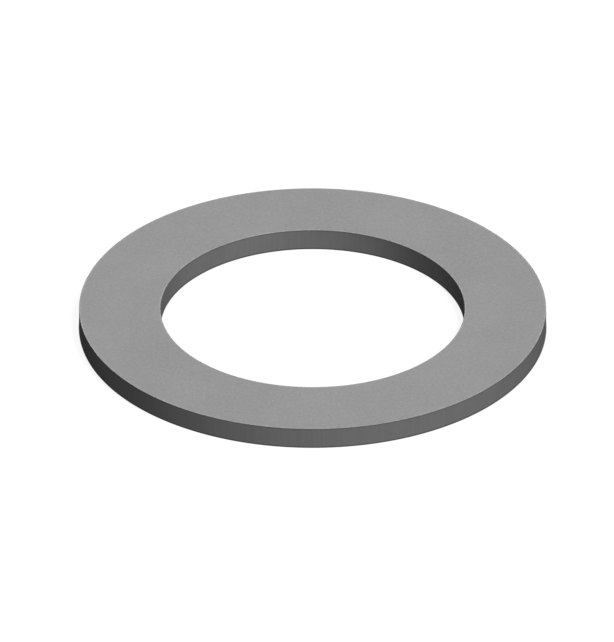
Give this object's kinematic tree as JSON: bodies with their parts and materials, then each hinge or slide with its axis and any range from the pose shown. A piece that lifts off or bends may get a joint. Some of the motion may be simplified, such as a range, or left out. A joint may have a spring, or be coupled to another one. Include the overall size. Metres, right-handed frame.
{
  "type": "thru-hull washer",
  "caption": "Flat grey rubber ring of plain rectangular section that seals and cushions the nut of a thru-hull fitting against the hull.",
  "frame": {"origin": "on the bore's axis, in the plane of the lower face, which lies on the hull", "axes": "+Z along the bore's axis, from the lower face to the upper face; X and Y lie in the lower face"},
  "size_m": [0.053, 0.053, 0.0025],
  "materials": {
    "grey_rubber": "matte"
  },
  "bodies": {
    "root": {"washer": "grey_rubber"}
  },
  "joints": []
}
